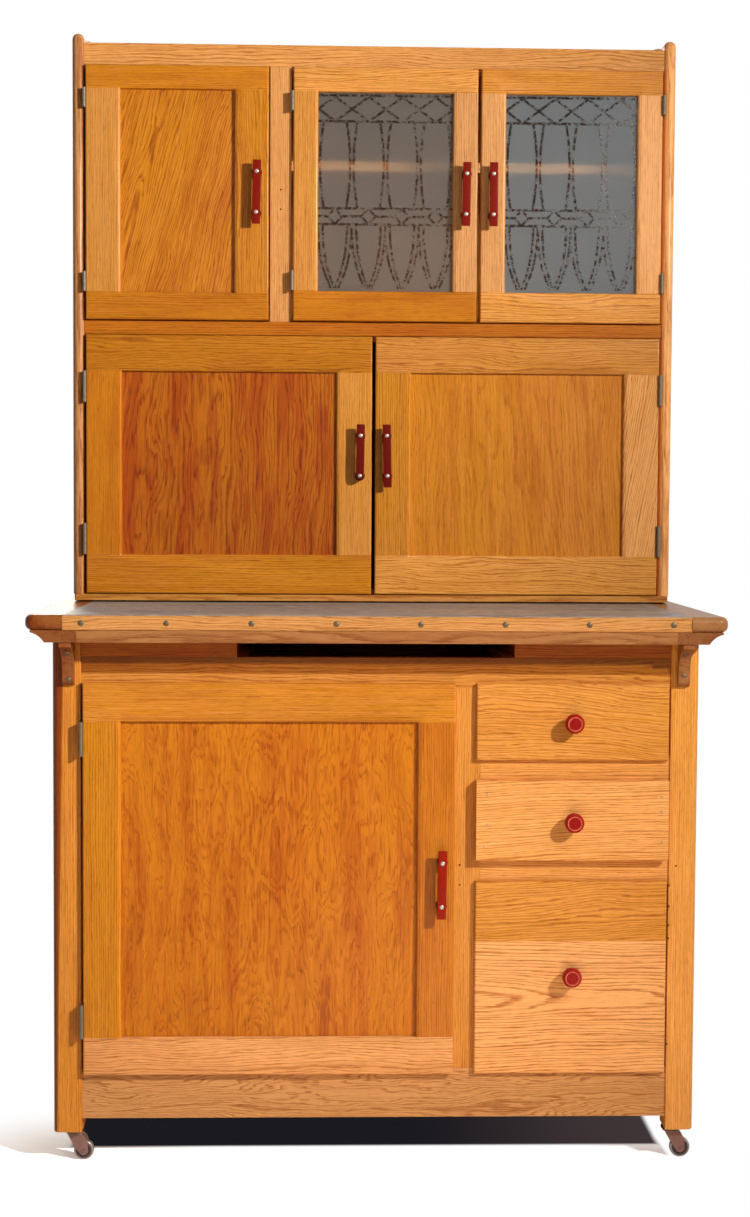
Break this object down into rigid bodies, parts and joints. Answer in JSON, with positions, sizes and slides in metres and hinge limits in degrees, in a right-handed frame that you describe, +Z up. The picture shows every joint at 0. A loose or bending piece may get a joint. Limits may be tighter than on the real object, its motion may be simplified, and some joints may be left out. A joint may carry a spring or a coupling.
{
  "type": "bakers cabinet",
  "caption": "Bakers cabinet: hutch with solid and glazed doors on a base with cupboard, drawers and casters under a sliding worktop.",
  "frame": {"origin": "on the floor under the centre of the cabinet's overall box", "axes": "+Z up, front towards -Y, +X to the right seen from the front"},
  "size_m": [1.0414, 0.635, 1.79],
  "materials": {
    "oak": "satin",
    "zinc sheet": "satin",
    "etched glass": "frosted",
    "red pulls": "gloss",
    "hinge steel": "satin",
    "iron": "matte",
    "caster steel": "satin"
  },
  "bodies": {
    "cabinet": {"base_side_left": "oak", "base_side_right": "oak", "base_face_frame": "oak", "base_back": "oak", "base_partition": "oak", "base_shelves": "oak", "base_runners": "oak", "corbels": "oak", "caster_sockets": "caster steel", "hutch_side_left": "oak", "hutch_side_right": "oak", "hutch_face_frame": "oak", "hutch_top_board": "oak", "hutch_divisions": "oak", "hutch_back": "oak", "rear_irons": "iron", "hinge_post_leaves": "hinge steel"},
    "worktop": {"worktop_board": "oak", "worktop_end_mouldings": "oak", "worktop_nosing": "oak", "worktop_underframe": "oak", "worktop_sheet": "zinc sheet"},
    "upper_left_door": {"upper_left_door_frame": "oak", "upper_left_door_panel": "oak", "upper_left_door_pull": "red pulls", "upper_left_door_hinge_leaves": "hinge steel"},
    "left_glass_door": {"left_glass_door_frame": "oak", "left_glass_door_glass": "etched glass", "left_glass_door_pull": "red pulls", "left_glass_door_hinge_leaves": "hinge steel"},
    "right_glass_door": {"right_glass_door_frame": "oak", "right_glass_door_glass": "etched glass", "right_glass_door_pull": "red pulls", "right_glass_door_hinge_leaves": "hinge steel"},
    "lower_left_door": {"lower_left_door_frame": "oak", "lower_left_door_panel": "oak", "lower_left_door_pull": "red pulls", "lower_left_door_hinge_leaves": "hinge steel"},
    "lower_right_door": {"lower_right_door_frame": "oak", "lower_right_door_panel": "oak", "lower_right_door_pull": "red pulls", "lower_right_door_hinge_leaves": "hinge steel"},
    "base_door": {"base_door_frame": "oak", "base_door_panel": "oak", "base_door_pull": "red pulls", "base_door_hinge_leaves": "hinge steel"},
    "top_drawer": {"top_drawer": "oak", "top_drawer_knob": "red pulls"},
    "middle_drawer": {"middle_drawer": "oak", "middle_drawer_knob": "red pulls"},
    "bottom_drawer": {"bottom_drawer": "oak", "bottom_drawer_knob": "red pulls"},
    "front_left_caster_fork": {"front_left_caster_fork": "caster steel"},
    "front_left_caster_wheel": {"front_left_caster_wheel": "caster steel"},
    "front_right_caster_fork": {"front_right_caster_fork": "caster steel"},
    "front_right_caster_wheel": {"front_right_caster_wheel": "caster steel"},
    "rear_left_caster_fork": {"rear_left_caster_fork": "caster steel"},
    "rear_left_caster_wheel": {"rear_left_caster_wheel": "caster steel"},
    "rear_right_caster_fork": {"rear_right_caster_fork": "caster steel"},
    "rear_right_caster_wheel": {"rear_right_caster_wheel": "caster steel"}
  },
  "joints": [
    {"name": "upper_left_door_hinge", "type": "hinge", "parent": "cabinet", "child": "upper_left_door", "pos_m": [-0.476, 0.0142, 1.51075], "axis": [0, 0, -1], "range_deg": [0, 170]},
    {"name": "left_glass_door_hinge", "type": "hinge", "parent": "cabinet", "child": "left_glass_door", "pos_m": [-0.136, 0.0142, 1.51075], "axis": [0, 0, -1], "range_deg": [0, 150]},
    {"name": "right_glass_door_hinge", "type": "hinge", "parent": "cabinet", "child": "right_glass_door", "pos_m": [0.476, 0.0142, 1.51075], "axis": [0, 0, 1], "range_deg": [0, 170]},
    {"name": "lower_left_door_hinge", "type": "hinge", "parent": "cabinet", "child": "lower_left_door", "pos_m": [-0.476, 0.0142, 1.06575], "axis": [0, 0, -1], "range_deg": [0, 170]},
    {"name": "lower_right_door_hinge", "type": "hinge", "parent": "cabinet", "child": "lower_right_door", "pos_m": [0.476, 0.0142, 1.06575], "axis": [0, 0, 1], "range_deg": [0, 170]},
    {"name": "base_door_hinge", "type": "hinge", "parent": "cabinet", "child": "base_door", "pos_m": [-0.443, -0.2798, 0.4362], "axis": [0, 0, -1], "range_deg": [0, 170]},
    {"name": "worktop_slide", "type": "slide", "parent": "cabinet", "child": "worktop", "axis": [0, -1, 0], "range_m": [0, 0.25]},
    {"name": "top_drawer_slide", "type": "slide", "parent": "cabinet", "child": "top_drawer", "axis": [0, -1, 0], "range_m": [0, 0.38]},
    {"name": "middle_drawer_slide", "type": "slide", "parent": "cabinet", "child": "middle_drawer", "axis": [0, -1, 0], "range_m": [0, 0.38]},
    {"name": "bottom_drawer_slide", "type": "slide", "parent": "cabinet", "child": "bottom_drawer", "axis": [0, -1, 0], "range_m": [0, 0.38]},
    {"name": "front_left_caster_swivel", "type": "hinge", "parent": "cabinet", "child": "front_left_caster_fork", "pos_m": [-0.4575, -0.2475, 0.046], "axis": [0, 0, 1], "continuous": true},
    {"name": "front_left_wheel_spin", "type": "hinge", "parent": "front_left_caster_fork", "child": "front_left_caster_wheel", "pos_m": [-0.444, -0.2475, 0.0155], "axis": [0, 1, 0], "continuous": true},
    {"name": "front_right_caster_swivel", "type": "hinge", "parent": "cabinet", "child": "front_right_caster_fork", "pos_m": [0.4575, -0.2475, 0.046], "axis": [0, 0, 1], "continuous": true},
    {"name": "front_right_wheel_spin", "type": "hinge", "parent": "front_right_caster_fork", "child": "front_right_caster_wheel", "pos_m": [0.471, -0.2475, 0.0155], "axis": [0, 1, 0], "continuous": true},
    {"name": "rear_left_caster_swivel", "type": "hinge", "parent": "cabinet", "child": "rear_left_caster_fork", "pos_m": [-0.4575, 0.2935, 0.046], "axis": [0, 0, 1], "continuous": true},
    {"name": "rear_left_wheel_spin", "type": "hinge", "parent": "rear_left_caster_fork", "child": "rear_left_caster_wheel", "pos_m": [-0.444, 0.2935, 0.0155], "axis": [0, 1, 0], "continuous": true},
    {"name": "rear_right_caster_swivel", "type": "hinge", "parent": "cabinet", "child": "rear_right_caster_fork", "pos_m": [0.4575, 0.2935, 0.046], "axis": [0, 0, 1], "continuous": true},
    {"name": "rear_right_wheel_spin", "type": "hinge", "parent": "rear_right_caster_fork", "child": "rear_right_caster_wheel", "pos_m": [0.471, 0.2935, 0.0155], "axis": [0, 1, 0], "continuous": true}
  ]
}
